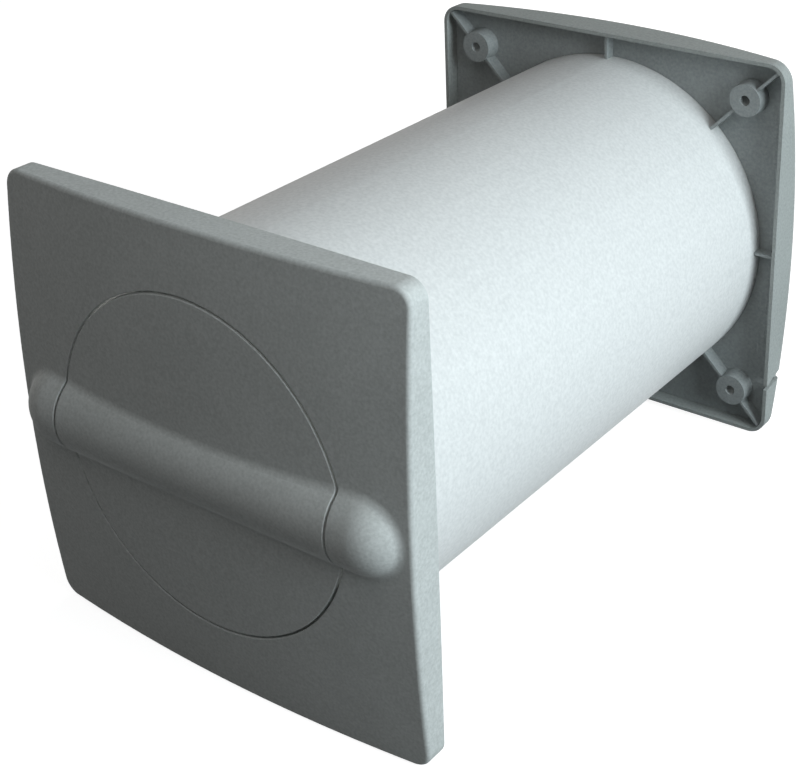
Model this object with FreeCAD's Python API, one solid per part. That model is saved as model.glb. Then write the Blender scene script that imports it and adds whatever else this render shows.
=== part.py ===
"""Wall vent sleeve: a white pipe through a wall between two crowned square covers.

The outer cover carries a round flap that turns on a level axle inside a half-round ridge.
Sizes are in millimetres. The pipe lies along Y, from the outer cover (rim plane y = 0, face
towards -Y) to the inner cover (rim plane y = wall_thickness, face towards +Y). Z is up.
The origin is on the pipe's axis, in the plane where the outer cover meets the wall. The pieces are
shaped round the middle line of the covers and raised by pipe_drop at the end.
"""
import FreeCAD, Part
import math
import os
from collections import namedtuple

# Pipe through the wall, with its axis a little below the middle of the covers
wall_thickness = 240.0
tube_outer_d = 150.0
tube_wall = 2.5
pipe_drop = 1.4

# Sockets round the pipe's ends, each with a ledge that the pipe stops against
socket_clearance = 0.15
socket_wall = 2.0
socket_ledge = 1.5
outer_seat_inset = 1.0
outer_socket_reach = 12.0
inner_seat_depth = 14.0
inner_ledge_thickness = 1.5

# Outer cover: a pillow-square shell with a spherical crown; the flange is what stands out past the pipe
outer_flange = 13.7
outer_bow = 0.4
outer_corner_r = 6.5
outer_apex = 17.8
outer_crown_r = 790.0
outer_wall = 2.4
outer_edge_r = 1.5

# Inner cover: a smaller and more domed shell
inner_flange = 10.8
inner_bow = 0.2
inner_corner_r = 8.2
inner_apex = 29.5
inner_crown_r = 320.0
inner_wall = 1.6
inner_edge_r = 1.8

# Frame inside the inner cover: a flat floor set back from the rim plane, with the pipe's socket behind it
frame_depth = 7.0
frame_floor = 2.0
frame_fit = 0.15

# Ribs between each socket and its cover's skirt, set back from the rim plane
rib_thickness = 1.2
corner_rib_recess = 0.6
side_rib_recess = 1.8

# Ridge across the outer cover, round the flap's axle, a little above the cover's middle
ridge_r = 16.6
axle_depth = 6.5
flap_rise = 1.2
ridge_end_margin = 4.3
ridge_fillet = 3.8

# Flap, with a spherical edge centred on the axle, and the stop lip behind its lower half
flap_gap = 0.8
seam_edge_r = 0.4
lip_width = 3.5
lip_thickness = 2.0
lip_wall = 2.0
lip_clearance = 0.3
lip_half_angle = 68.0

# Axle, hubs on the flap, saddles on the cover and their caps
axle_d = 5.0
running_clearance = 0.05
hub_clearance = 0.02
hub_wall = 3.5
hub_length = 10.0
hub_web = 3.0
axial_clearance = 0.4
saddle_seat_gap = 1.7
saddle_length = 5.0
saddle_socket_gap = 2.5
saddle_width = 20.0
cap_height = 5.0

# Screws that hold the caps on the saddles
screw_d = 2.5
screw_length = 11.0
screw_head_d = 4.6
screw_head_height = 1.6
screw_slot_width = 0.6
screw_slot_depth = 0.8
screw_clearance = 0.05
screw_spacing = 13.0

# Screw bosses of the frame, a little wider at the foot, and the cover's posts behind them
boss_inset = 17.8
boss_d = 14.0
boss_foot_d = 15.6
boss_hole_d = 4.5

# Tapered notch through the skirt of the inner cover, on the side towards +X
notch_inset = 24.9
notch_rim_width = 1.9
notch_face_width = 4.6
notch_rise = 4.4

Shell = namedtuple("Shell", "half bow corner_r apex crown_r")
ORIGIN = FreeCAD.Vector(0, 0, 0)
X = FreeCAD.Vector(1, 0, 0)
Y = FreeCAD.Vector(0, 1, 0)
Z = FreeCAD.Vector(0, 0, 1)


def vec(x, y, z):
    return FreeCAD.Vector(x, y, z)


def cylinder(radius, start, direction, length):
    return Part.makeCylinder(radius, length, start, direction)


def box(low, high):
    size = high - low
    return Part.makeBox(size.x, size.y, size.z, low)


def clean(shape):
    """The one solid of a shape, with its split faces joined."""
    solids = shape.removeSplitter().Solids
    if len(solids) != 1:
        raise ValueError("expected one solid, found %d" % len(solids))
    return solids[0]


def revolved(section, start_angle, sweep):
    """Section of (radius, y) points turned round the covers' middle line; angle 90 is straight down."""
    loop = [vec(radius, y, 0) for radius, y in section + section[:1]]
    face = Part.Face(Part.makePolygon(loop))
    face.rotate(ORIGIN, Y, start_angle)
    return face.revolve(ORIGIN, Y, sweep)


def square_outline(shell):
    """Closed wire in the plane y = 0: four slightly bowed sides joined by tangent corner arcs."""
    bow_r = (shell.half ** 2 + shell.bow ** 2) / (2 * shell.bow)
    centre = shell.half - bow_r
    corner = (centre + math.sqrt(2 * (bow_r - shell.corner_r) ** 2 - centre ** 2)) / 2
    reach = bow_r / (bow_r - shell.corner_r)
    meet_x = centre + (corner - centre) * reach
    meet_z = corner * reach
    tip = corner + shell.corner_r * math.sqrt(0.5)
    side = [(meet_x, -meet_z), (shell.half, 0), (meet_x, meet_z)]
    bend = [(meet_x, meet_z), (tip, tip), (meet_z, meet_x)]
    edges = []
    for quarter in range(4):
        turn = FreeCAD.Rotation(Y, -90.0 * quarter)
        for three in (side, bend):
            points = [turn.multVec(vec(x, 0, z)) for x, z in three]
            edges.append(Part.Arc(*points).toShape())
    return Part.Wire(edges)


def crown_ball(shell):
    return Part.makeSphere(shell.crown_r, vec(0, shell.crown_r - shell.apex, 0))


def crown_depth(shell, radius):
    """Distance of the crown from the rim plane, at this distance from the cover's middle."""
    return shell.apex - shell.crown_r + math.sqrt(shell.crown_r ** 2 - radius ** 2)


def crowned_block(shell):
    """Solid from the rim plane y = 0 to a spherical crown that reaches y = -apex."""
    prism = Part.Face(square_outline(shell)).extrude(Y * (-2 * shell.apex))
    return clean(prism.common(crown_ball(shell)))


def crown_face(solid, shell):
    """The largest face that lies on the shell's crown."""
    faces = [face for face in solid.Faces if isinstance(face.Surface, Part.Sphere)]
    crowns = [face for face in faces if abs(face.Surface.Radius - shell.crown_r) < 1e-6]
    return max(crowns, key=lambda face: face.Area)


def rounded_block(shell, edge_r):
    """Crowned block with the edge of its face rounded."""
    block = crowned_block(shell)
    return block.makeFillet(edge_r, crown_face(block, shell).OuterWire.Edges)


def inside(shell, wall):
    """The shell's form, smaller by one wall all round."""
    return Shell(
        shell.half - wall, shell.bow, shell.corner_r - wall, shell.apex - wall, shell.crown_r - wall
    )


def ridge_bar(radius):
    """Front half of a round-ended bar of this radius along the axle."""
    bar = cylinder(radius, pivot - X * ridge_centre_x, X, 2 * ridge_centre_x)
    for side in (-1, 1):
        bar = bar.fuse(Part.makeSphere(radius, pivot + X * (side * ridge_centre_x)))
    reach = ridge_centre_x + 2 * radius
    low = pivot + vec(-reach, -2 * radius, -2 * radius)
    return clean(bar.common(box(low, pivot + vec(reach, 0, 2 * radius))))


def rounded_seam(skin, radius):
    """The skin with the outside edge of its spherical cut of this radius rounded."""
    outside = outer_form.Shells[0]
    edges = []
    for face in skin.Faces:
        if isinstance(face.Surface, Part.Sphere) and abs(face.Surface.Radius - radius) < 1e-6:
            for edge in face.Edges:
                middle = edge.valueAt((edge.FirstParameter + edge.LastParameter) / 2)
                if Part.Vertex(middle).distToShape(outside)[0] < 1e-3:
                    edges.append(edge)
    return skin.makeFillet(seam_edge_r, edges)


def socket_ring(back, seat, mouth):
    """Ring round the pipe from y = back to its mouth, with the pipe's ledge at y = seat."""
    section = [
        (ledge_r, back),
        (ledge_r, seat),
        (socket_r, seat),
        (socket_r, mouth),
        (collar_r, mouth),
        (collar_r, back),
    ]
    ring = revolved(section, 0.0, 360.0)
    ring.translate(pipe_centre)
    return ring


def rib(block, angle, recess, root_r):
    """Thin plate from a circle round the pipe out to the skirt, at this angle round the cover's middle."""
    bounds = block.BoundBox
    reach = math.hypot(bounds.XMax, bounds.ZMax)
    plate = box(vec(0, bounds.YMin, -rib_thickness / 2), vec(reach, -recess, rib_thickness / 2))
    plate.rotate(ORIGIN, Y, angle)
    root = cylinder(root_r, pipe_centre, -Y, bounds.YLength)
    return plate.common(block).cut(root)


def ribs(block, root_r):
    """Ribs from this circle to the four corners and to the middles of the four sides."""
    plates = []
    for quarter in range(4):
        plates.append(rib(block, 90.0 * quarter + 45.0, corner_rib_recess, root_r))
        plates.append(rib(block, 90.0 * quarter, side_rib_recess, root_r))
    return plates


def bearing_block(side, near, far):
    """Block round one end of the axle, from y = near to y = far."""
    ends = sorted((side * saddle_start, side * saddle_end))
    low = vec(ends[0], near, pivot.z - saddle_width / 2)
    return box(low, vec(ends[1], far, pivot.z + saddle_width / 2))


tube_outer_r = tube_outer_d / 2
tube_inner_r = tube_outer_r - tube_wall
socket_r = tube_outer_r + socket_clearance
collar_r = socket_r + socket_wall
ledge_r = tube_outer_r - socket_ledge
outer = Shell(tube_outer_r + outer_flange, outer_bow, outer_corner_r, outer_apex, outer_crown_r)
inner = Shell(tube_outer_r + inner_flange, inner_bow, inner_corner_r, inner_apex, inner_crown_r)
pipe_centre = vec(0, 0, -pipe_drop)
pivot = vec(0, -axle_depth, flap_rise)
saddle_end = ledge_r - saddle_socket_gap
saddle_start = saddle_end - saddle_length
seat_edge_r = saddle_start - saddle_seat_gap
flap_edge_r = seat_edge_r - flap_gap
ridge_end_x = outer.half - ridge_end_margin
ridge_end_rise = crown_depth(outer, ridge_end_x) - axle_depth
ridge_centre_x = ridge_end_x - math.sqrt(ridge_r ** 2 - ridge_end_rise ** 2)
axle_r = axle_d / 2

# Skin of the outer cover and the flap in one: crown and ridge, blended where they meet
outer_block = rounded_block(outer, outer_edge_r)
outer_form = clean(outer_block.fuse(ridge_bar(ridge_r)))
crown = crown_face(outer_form, outer)
ridge_foot = []
for wire in crown.Wires:
    if not wire.isSame(crown.OuterWire):
        ridge_foot.extend(wire.Edges)
outer_form = outer_form.makeFillet(ridge_fillet, ridge_foot)
hollow_form = inside(outer, outer_wall)
outer_hollow = crowned_block(hollow_form).fuse(ridge_bar(ridge_r - outer_wall))
outer_skin = outer_form.cut(outer_hollow)

# Stop lip: a ledge behind the lower half of the flap, on a wall that stands on the cover's skin
flap_back = crown_depth(hollow_form, flap_edge_r)
lip_front = lip_clearance - flap_back
lip_root_r = seat_edge_r + lip_wall
lip_section = [
    (flap_edge_r - lip_width, lip_front),
    (seat_edge_r, lip_front),
    (seat_edge_r, -flap_back - outer_wall / 2),
    (lip_root_r, -flap_back - outer_wall / 2),
    (lip_root_r, lip_front + lip_thickness),
    (flap_edge_r - lip_width, lip_front + lip_thickness),
]
stop_lip = revolved(lip_section, 90.0 - lip_half_angle, 2 * lip_half_angle)
stop_lip.translate(Z * flap_rise)

# Outer cover: the skin round the flap's seat, with socket, ribs, stop lip and axle saddles
groove = cylinder(axle_r + running_clearance, pivot - X * saddle_end, X, 2 * saddle_end)
socket = socket_ring(-outer_apex, outer_seat_inset, outer_socket_reach).common(crown_ball(outer))
outer_cover = rounded_seam(outer_skin.cut(Part.makeSphere(seat_edge_r, pivot)), seat_edge_r)
outer_cover = outer_cover.fuse([socket, stop_lip] + ribs(outer_block, (socket_r + collar_r) / 2))
for side in (-1, 1):
    saddle = bearing_block(side, -axle_depth - ridge_r, -axle_depth).common(outer_form)
    outer_cover = outer_cover.fuse(saddle)
outer_cover = outer_cover.cut(groove)

# Bearing caps over the saddles, and the screws that go through them into the saddles
cap_back = cap_height - axle_depth
caps = []
screws = []
for side in (-1, 1):
    cap = bearing_block(side, -axle_depth, cap_back).cut(groove)
    for level in (-1, 1):
        height = pivot.z + level * screw_spacing / 2
        place = vec(side * (saddle_start + saddle_end) / 2, cap_back, height)
        hole = cylinder(screw_d / 2 + screw_clearance, place, -Y, screw_length + screw_clearance)
        cap = cap.cut(hole)
        outer_cover = outer_cover.cut(hole)
        shank = cylinder(screw_d / 2, place, -Y, screw_length)
        head = cylinder(screw_head_d / 2, place, Y, screw_head_height)
        slot_low = place + vec(-screw_head_d, screw_head_height - screw_slot_depth, -screw_slot_width / 2)
        slot_high = place + vec(screw_head_d, screw_head_height, screw_slot_width / 2)
        screws.append(clean(shank.fuse(head).cut(box(slot_low, slot_high))))
    caps.append(clean(cap))

# Flap: the skin inside the spherical edge, with two hubs on webs inside the ridge
hub_end = saddle_start - axial_clearance
web_x = hub_end - (hub_length + hub_web) / 2
flap = rounded_seam(outer_skin.common(Part.makeSphere(flap_edge_r, pivot)), flap_edge_r)
for side in (-1, 1):
    hub = cylinder(axle_r + hub_wall, pivot + X * (side * hub_end), X * -side, hub_length)
    web = cylinder(ridge_r - outer_wall / 2, pivot + X * (side * web_x), X * side, hub_web)
    flap = flap.fuse([hub, web.common(ridge_bar(ridge_r))])
flap = flap.cut(cylinder(axle_r + hub_clearance, pivot - X * saddle_end, X, 2 * saddle_end))

# Axle rod, from the end of one saddle to the end of the other
flap_axle = cylinder(axle_r, pivot - X * saddle_end, X, 2 * saddle_end)

# Pipe between the ledges of the two sockets
tube_start = pipe_centre + Y * outer_seat_inset
tube_length = wall_thickness + inner_seat_depth - outer_seat_inset
wall_tube = cylinder(tube_outer_r, tube_start, Y, tube_length)
wall_tube = wall_tube.cut(cylinder(tube_inner_r, tube_start, Y, tube_length))

# Frame of the inner cover, made facing -Y and then turned to face the room, like the cover itself
frame_back = -frame_depth - frame_floor
frame_corner = vec(inner.half, 0, inner.half)
frame_room = crowned_block(inside(inner, inner_wall + frame_fit))
frame_layer = frame_room.common(box(Y * frame_back - frame_corner, frame_corner))
floor = frame_layer.common(box(Y * frame_back - frame_corner, frame_corner - Y * frame_depth))
boss_place = inner.half - boss_inset
boss_places = [vec(x, 0, z) for x in (-boss_place, boss_place) for z in (-boss_place, boss_place)]
bosses = []
screw_ways = []
for place in boss_places:
    boss = Part.makeCone(boss_d / 2, boss_foot_d / 2, -frame_back, place, -Y)
    bosses.append(boss.common(frame_layer))
    screw_ways.append(cylinder(boss_hole_d / 2, place, -Y, inner_apex))
socket_back = -inner_seat_depth - inner_ledge_thickness
socket = socket_ring(socket_back, -inner_seat_depth, -frame_depth).common(frame_room)
inner_frame = floor.fuse(ribs(frame_layer, socket_r) + bosses)
inner_frame = inner_frame.cut(cylinder(socket_r, pipe_centre, -Y, -frame_back)).fuse(socket)

# Inner cover: the domed shell, with a throat behind the pipe's ledge and four posts behind the bosses
inner_block = rounded_block(inner, inner_edge_r)
inner_cover = inner_block.cut(crowned_block(inside(inner, inner_wall)))
fillings = [cylinder(collar_r, pipe_centre + Y * socket_back, -Y, inner_apex)]
for place in boss_places:
    fillings.append(cylinder(boss_d / 2, place + Y * frame_back, -Y, inner_apex))
inner_cover = inner_cover.fuse([filling.common(inner_block) for filling in fillings])
inner_cover = inner_cover.cut(cylinder(ledge_r, pipe_centre, -Y, inner_apex))
for way in screw_ways:
    inner_frame = inner_frame.cut(way)
    inner_cover = inner_cover.cut(way)
notch_z = notch_inset - inner.half
notch_depth = crown_depth(inner, math.hypot(inner.half, notch_z)) + inner_edge_r
notch_corners = [
    (0, notch_z),
    (0, notch_z - notch_rim_width),
    (-notch_depth, notch_z + notch_rise - notch_face_width),
    (-notch_depth, notch_z + notch_rise),
]
notch_loop = [vec(-inner.half - inner_wall, y, z) for y, z in notch_corners + notch_corners[:1]]
notch = Part.Face(Part.makePolygon(notch_loop)).extrude(X * (2 * inner_wall + inner_bow))
inner_cover = inner_cover.cut(notch)
for shape in (inner_frame, inner_cover):
    shape.rotate(ORIGIN, Z, 180.0)
    shape.translate(Y * wall_thickness)

nodes = {
    "outer_cover": clean(outer_cover),
    "flap": clean(flap),
    "flap_axle": flap_axle,
    "bearing_cap_left": caps[0],
    "bearing_cap_right": caps[1],
    "cap_screws": Part.makeCompound(screws),
    "wall_tube": wall_tube,
    "inner_frame": clean(inner_frame),
    "inner_cover": clean(inner_cover),
}
os.makedirs("parts", exist_ok=True)
for name, shape in nodes.items():
    shape.translate(-pipe_centre)
    shape.exportStep("parts/%s.step" % name)
    print(name, len(shape.Solids), "solids", round(shape.Volume), "mm3", shape.isValid())
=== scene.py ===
import bpy
import numpy as np
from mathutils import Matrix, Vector


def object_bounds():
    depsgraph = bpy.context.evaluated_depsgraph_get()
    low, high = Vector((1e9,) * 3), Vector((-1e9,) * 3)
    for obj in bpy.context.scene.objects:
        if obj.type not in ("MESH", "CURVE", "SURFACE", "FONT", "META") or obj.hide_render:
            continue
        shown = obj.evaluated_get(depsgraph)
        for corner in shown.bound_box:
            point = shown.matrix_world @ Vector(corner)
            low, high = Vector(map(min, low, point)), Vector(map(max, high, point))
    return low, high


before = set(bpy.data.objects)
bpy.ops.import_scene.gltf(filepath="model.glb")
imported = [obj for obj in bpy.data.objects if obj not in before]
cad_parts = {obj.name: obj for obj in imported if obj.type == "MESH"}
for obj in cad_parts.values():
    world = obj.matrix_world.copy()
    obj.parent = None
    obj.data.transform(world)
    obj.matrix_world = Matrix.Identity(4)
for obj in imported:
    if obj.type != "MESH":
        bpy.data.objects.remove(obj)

cad_low, cad_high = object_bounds()

# Outer cover: the square shell on the outside wall, injection moulded in silver-grey plastic.
# Its tool was spark-eroded, so the skin has a fine matte grain, and the melt's flow has left soft
# patches in tone and gloss. It is held by the pipe, which is pushed into its socket.
SILVER_GREY = (0.45, 0.47, 0.46, 1.0)
SILVER_GREY_PALE = (0.63, 0.65, 0.64, 1.0)
GRAIN_PITCH = 0.0011
GRAIN_OCTAVES = 3.0
GRAIN_HEIGHT = 0.00005
GRAIN_SHARE = 0.65
FLOW_PATCH = 0.035
FLOW_OCTAVES = 4.0
FLOW_SHARE = 0.35
MATTE_ROUGHNESS = (0.70, 0.82)
MATTE_SHEEN = 0.15
# Most of a noise pattern lies between these two levels
NOISE_LOW = 0.3
NOISE_HIGH = 0.7
# The colour mixer's sockets go by number, because their names repeat
MIX_FACTOR = 0
MIX_FIRST = 6
MIX_SECOND = 7
MIX_COLOUR = 2


def link(tree, source, output, target, socket):
    """One wire from a node's output to another node's input."""
    tree.links.new(source.outputs[output], target.inputs[socket])


def new_finish(name):
    """An empty node material with its surface shader and the object's own coordinates."""
    finish = bpy.data.materials.new(name)
    finish.use_nodes = True
    tree = finish.node_tree
    shader = tree.nodes["Principled BSDF"]
    place = tree.nodes.new("ShaderNodeTexCoord")
    return finish, tree, shader, place


def speckle(tree, source, output, pitch, octaves):
    """Soft random pattern on the source's coordinates, with spots about pitch metres apart."""
    noise = tree.nodes.new("ShaderNodeTexNoise")
    noise.inputs["Scale"].default_value = 1.0 / pitch
    noise.inputs["Detail"].default_value = octaves
    link(tree, source, output, noise, "Vector")
    return noise


def spread(tree, source, output, low, high):
    """The pattern's middle range stretched to run from low to high."""
    ramp = tree.nodes.new("ShaderNodeMapRange")
    ramp.inputs["From Min"].default_value = NOISE_LOW
    ramp.inputs["From Max"].default_value = NOISE_HIGH
    ramp.inputs["To Min"].default_value = low
    ramp.inputs["To Max"].default_value = high
    link(tree, source, output, ramp, "Value")
    return ramp


def colour_between(tree, factor, output, first, second):
    """A colour that runs from the first to the second with the factor."""
    mix = tree.nodes.new("ShaderNodeMix")
    mix.data_type = "RGBA"
    mix.inputs[MIX_FIRST].default_value = first
    mix.inputs[MIX_SECOND].default_value = second
    link(tree, factor, output, mix, MIX_FACTOR)
    return mix


def raise_skin(tree, shader, pattern, height):
    """The pattern as a relief of this height in metres on the surface."""
    bump = tree.nodes.new("ShaderNodeBump")
    bump.inputs["Strength"].default_value = 1.0
    bump.inputs["Distance"].default_value = height
    link(tree, pattern, "Fac", bump, "Height")
    link(tree, bump, "Normal", shader, "Normal")


def joined(tree, first, second):
    """The sum of two stretched patterns."""
    total = tree.nodes.new("ShaderNodeMath")
    total.operation = "ADD"
    link(tree, first, "Result", total, 0)
    link(tree, second, "Result", total, 1)
    return total


def moulded_plastic(name, dark, pale):
    """Grainy moulded plastic: two tones in fine grain and soft flow patches, fine pits, uneven gloss."""
    finish, tree, shader, place = new_finish(name)
    grain = speckle(tree, place, "Object", GRAIN_PITCH, GRAIN_OCTAVES)
    flow = speckle(tree, place, "Object", FLOW_PATCH, FLOW_OCTAVES)
    grain_tone = spread(tree, grain, "Fac", 0.0, GRAIN_SHARE)
    flow_tone = spread(tree, flow, "Fac", 0.0, FLOW_SHARE)
    tint = colour_between(tree, joined(tree, grain_tone, flow_tone), "Value", dark, pale)
    link(tree, tint, MIX_COLOUR, shader, "Base Color")
    gloss = spread(tree, flow, "Fac", *MATTE_ROUGHNESS)
    link(tree, gloss, "Result", shader, "Roughness")
    shader.inputs["Specular IOR Level"].default_value = MATTE_SHEEN
    raise_skin(tree, shader, grain, GRAIN_HEIGHT)
    return finish


def dress(node, finish):
    """Give a CAD node its finish in every slot."""
    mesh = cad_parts[node].data
    mesh.materials.clear()
    mesh.materials.append(finish)


cover_plastic = moulded_plastic("cover_plastic", SILVER_GREY, SILVER_GREY_PALE)
dress("outer_cover", cover_plastic)

# Flap: the round shutter in the outer cover, from the same plastic and with the same grain,
# moulded as one piece with the middle of the ridge and the two hubs behind it. It turns with
# the axle that is pushed through its hubs.
dress("flap", cover_plastic)

# Bearing caps: two plain blocks behind the ridge's domed ends, moulded from the same plastic,
# each with a half-round groove. They are screwed over the axle's ends.
dress("bearing_cap_left", cover_plastic)
dress("bearing_cap_right", cover_plastic)

# Axle and cap screws: a rod and four small screws of bright steel, drawn through a die, which has
# left fine lines on them. The rod lies in the cover's saddles, and the screws hold the caps.
STEEL = (0.60, 0.61, 0.62, 1.0)
STEEL_DARK = (0.42, 0.43, 0.44, 1.0)
STEEL_ROUGHNESS = (0.24, 0.40)
DRAW_PITCH = 0.0004
DRAW_OCTAVES = 2.0
DRAW_STRETCH = (0.05, 1.0, 1.0)
DRAW_HEIGHT = 0.00001


def die_lines(tree, place, stretch, pitch, octaves):
    """Speckle drawn out into lines along the axis whose coordinate is scaled down by stretch."""
    along = tree.nodes.new("ShaderNodeMapping")
    along.inputs["Scale"].default_value = stretch
    link(tree, place, "Object", along, "Vector")
    return speckle(tree, along, "Vector", pitch, octaves)


steel, tree, shader, place = new_finish("drawn_steel")
lines = die_lines(tree, place, DRAW_STRETCH, DRAW_PITCH, DRAW_OCTAVES)
tint = colour_between(tree, lines, "Fac", STEEL_DARK, STEEL)
link(tree, tint, MIX_COLOUR, shader, "Base Color")
polish = spread(tree, lines, "Fac", *STEEL_ROUGHNESS)
link(tree, polish, "Result", shader, "Roughness")
shader.inputs["Metallic"].default_value = 1.0
raise_skin(tree, shader, lines, DRAW_HEIGHT)
dress("flap_axle", steel)
dress("cap_screws", steel)

# Wall pipe: a white plastic tube, extruded and sawn to length, with faint lines along its length
# from the die and a fine satin grain. Its ends are pushed into the sockets of the outer cover and
# the inner frame.
PIPE_WHITE = (0.78, 0.785, 0.78, 1.0)
PIPE_SHADE = (0.655, 0.662, 0.658, 1.0)
PIPE_ROUGHNESS = (0.48, 0.60)
PIPE_SHEEN = 0.2
DIE_LINE_PITCH = 0.004
DIE_LINE_OCTAVES = 4.0
DIE_LINE_STRETCH = (1.0, 0.03, 1.0)
DIE_LINE_SHARE = 0.15
SATIN_PITCH = 0.0014
SATIN_OCTAVES = 3.0
SATIN_HEIGHT = 0.00003
SATIN_SHARE = 0.85

pipe_white, tree, shader, place = new_finish("extruded_white")
lines = die_lines(tree, place, DIE_LINE_STRETCH, DIE_LINE_PITCH, DIE_LINE_OCTAVES)
grain = speckle(tree, place, "Object", SATIN_PITCH, SATIN_OCTAVES)
line_tone = spread(tree, lines, "Fac", 0.0, DIE_LINE_SHARE)
grain_tone = spread(tree, grain, "Fac", 0.0, SATIN_SHARE)
tint = colour_between(tree, joined(tree, line_tone, grain_tone), "Value", PIPE_SHADE, PIPE_WHITE)
link(tree, tint, MIX_COLOUR, shader, "Base Color")
satin = spread(tree, lines, "Fac", *PIPE_ROUGHNESS)
link(tree, satin, "Result", shader, "Roughness")
shader.inputs["Specular IOR Level"].default_value = PIPE_SHEEN
raise_skin(tree, shader, grain, SATIN_HEIGHT)
dress("wall_tube", pipe_white)

# Inner frame: the flat plate inside the inner cover, moulded in one with its bosses, ribs and the
# pipe's socket from silver-grey plastic. Its greys are set darker than the outer cover's as painted
# shade for the dim light inside the inner cover's recess. It is screwed to the wall through the four
# bosses.
# Both greys carry painted shade: the frame's own plastic matches the outer cover's
FRAME_GREY_PAINTED_SHADE = (0.26, 0.28, 0.28, 1.0)
FRAME_GREY_PALE_PAINTED_SHADE = (0.37, 0.39, 0.39, 1.0)
dress("inner_frame", moulded_plastic("frame_plastic_painted_shade", FRAME_GREY_PAINTED_SHADE, FRAME_GREY_PALE_PAINTED_SHADE))

# Inner cover: the domed shell on the room side, moulded from silver-grey plastic. Its greys lie
# between the frame's and the outer cover's as painted shade for the weaker light at the sleeve's far
# end.
# Its four posts stand on the frame, and the frame's screws go through them from the room.
# Both greys carry painted shade: the cover's own plastic matches the outer cover's
INNER_GREY_PAINTED_SHADE = (0.29, 0.31, 0.30, 1.0)
INNER_GREY_PALE_PAINTED_SHADE = (0.41, 0.43, 0.42, 1.0)
dress("inner_cover", moulded_plastic("inner_plastic_painted_shade", INNER_GREY_PAINTED_SHADE, INNER_GREY_PALE_PAINTED_SHADE))

# Floor: a plain pale sheet of paper under the covers' lower edges. The lens and mirrors see it as
# white with the object's soft shadow on it, and it throws little light back up.
FLOOR_HALF = 4.0
FLOOR_CORNERS = np.array([(-1, -1, 0), (1, -1, 0), (1, 1, 0), (-1, 1, 0)])
PAPER_SEEN = (0.90, 0.90, 0.90, 1.0)
PAPER_BOUNCE = (0.12, 0.12, 0.12, 1.0)
PAPER_ROUGHNESS = 1.0
PAPER_SHEEN = 0.0
PAPER_GLOW = 1.60
PAPER_GLOW_SHARE = 0.55


def direct_sight(tree):
    """1 for rays from the lens, a mirror or a clear piece, 0 for light that only bounces."""
    path = tree.nodes.new("ShaderNodeLightPath")
    mirrored = tree.nodes.new("ShaderNodeMath")
    mirrored.operation = "MAXIMUM"
    link(tree, path, "Is Camera Ray", mirrored, 0)
    link(tree, path, "Is Glossy Ray", mirrored, 1)
    sight = tree.nodes.new("ShaderNodeMath")
    sight.operation = "MAXIMUM"
    link(tree, mirrored, "Value", sight, 0)
    link(tree, path, "Is Transmission Ray", sight, 1)
    return sight


sheet_corners = FLOOR_CORNERS * FLOOR_HALF + (0.0, 0.0, cad_low.z)
floor_mesh = bpy.data.meshes.new("floor")
floor_mesh.from_pydata(sheet_corners.tolist(), [], [(0, 1, 2, 3)])
floor = bpy.data.objects.new("floor", floor_mesh)
bpy.context.scene.collection.objects.link(floor)
paper, tree, shader, place = new_finish("pale_paper")
sight = direct_sight(tree)
tint = colour_between(tree, sight, "Value", PAPER_BOUNCE, PAPER_SEEN)
link(tree, tint, MIX_COLOUR, shader, "Base Color")
shader.inputs["Roughness"].default_value = PAPER_ROUGHNESS
shader.inputs["Specular IOR Level"].default_value = PAPER_SHEEN
glow = tree.nodes.new("ShaderNodeEmission")
glow.inputs["Strength"].default_value = PAPER_GLOW
share = tree.nodes.new("ShaderNodeMath")
share.operation = "MULTIPLY"
share.inputs[1].default_value = PAPER_GLOW_SHARE
link(tree, sight, "Value", share, 0)
both = tree.nodes.new("ShaderNodeMixShader")
link(tree, share, "Value", both, 0)
link(tree, shader, "BSDF", both, 1)
link(tree, glow, "Emission", both, 2)
link(tree, both, "Shader", tree.nodes["Material Output"], "Surface")
floor_mesh.materials.append(paper)

# Studio: an even dim room that the lens sees as white, and four square soft lamps turned to the
# sleeve's middle. The cool one close on the right gives most of the light, a weak warm one shines
# down in front, and two warm ones fill the back and the left, which are turned away from it.
ROOM_WHITE = (1.0, 1.0, 1.0, 1.0)
ROOM_LEVEL = 0.09
ROOM_SEEN = 0.94
LAMP_COOL = (0.88, 0.985, 1.025)
LAMP_WARM = (1.0, 0.99, 0.96)
SLEEVE_MIDDLE = Vector((0.0, 0.10, 0.0))
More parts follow.
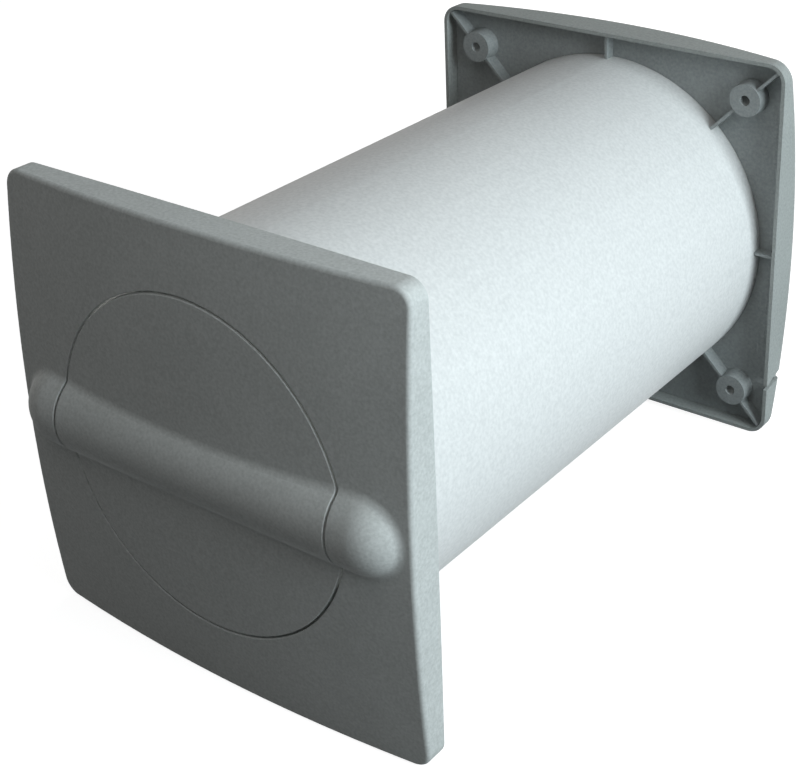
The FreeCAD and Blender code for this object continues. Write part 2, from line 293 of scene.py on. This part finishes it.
# Name, place and side in metres, power in watts, colour
LAMPS = (
    ("right_lamp", (0.80, 0.09, 0.33), 0.50, 7.6, LAMP_COOL),
    ("top_lamp", (0.20, -0.50, 1.00), 0.80, 1.7, LAMP_WARM),
    ("back_lamp", (-0.15, 1.50, 0.05), 0.60, 25.0, LAMP_WARM),
    ("left_lamp", (-1.20, 0.15, 0.0), 0.50, 2.7, LAMP_WARM),
)

studio = bpy.data.worlds.new("studio")
bpy.context.scene.world = studio
studio.use_nodes = True
tree = studio.node_tree
room = tree.nodes["Background"]
room.inputs["Color"].default_value = ROOM_WHITE
level = tree.nodes.new("ShaderNodeMapRange")
level.inputs["To Min"].default_value = ROOM_LEVEL
level.inputs["To Max"].default_value = ROOM_SEEN
link(tree, direct_sight(tree), "Value", level, "Value")
link(tree, level, "Result", room, "Strength")

for name, stand, side, power, colour in LAMPS:
    light = bpy.data.lights.new(name, "AREA")
    light.size = side
    light.energy = power
    light.color = colour
    lamp = bpy.data.objects.new(name, light)
    lamp.location = stand
    lamp.rotation_euler = (SLEEVE_MIDDLE - Vector(stand)).to_track_quat("-Z", "Y").to_euler()
    bpy.context.scene.collection.objects.link(lamp)

# Camera: a long lens above and to the right of the outer cover, close to the sleeve, so that the
# inner cover looks much smaller. The shift gives the crop's place off the lens axis.
CAMERA_PLACE = (0.348688, -0.33067, 0.292162)
CAMERA_TURN = (1.145142, 0.016572, 0.616459)
CAMERA_LENS = 72.7378
CAMERA_SENSOR = 36.0
CAMERA_SHIFT = (-0.11222, -0.1786)
CAMERA_NEAR = 0.01

lens = bpy.data.cameras.new("camera")
lens.sensor_fit = "HORIZONTAL"
lens.sensor_width = CAMERA_SENSOR
lens.lens = CAMERA_LENS
lens.shift_x, lens.shift_y = CAMERA_SHIFT
lens.clip_start = CAMERA_NEAR
camera = bpy.data.objects.new("camera", lens)
camera.location = CAMERA_PLACE
camera.rotation_euler = CAMERA_TURN
bpy.context.scene.collection.objects.link(camera)
bpy.context.scene.camera = camera
bpy.context.scene.view_settings.view_transform = "Standard"
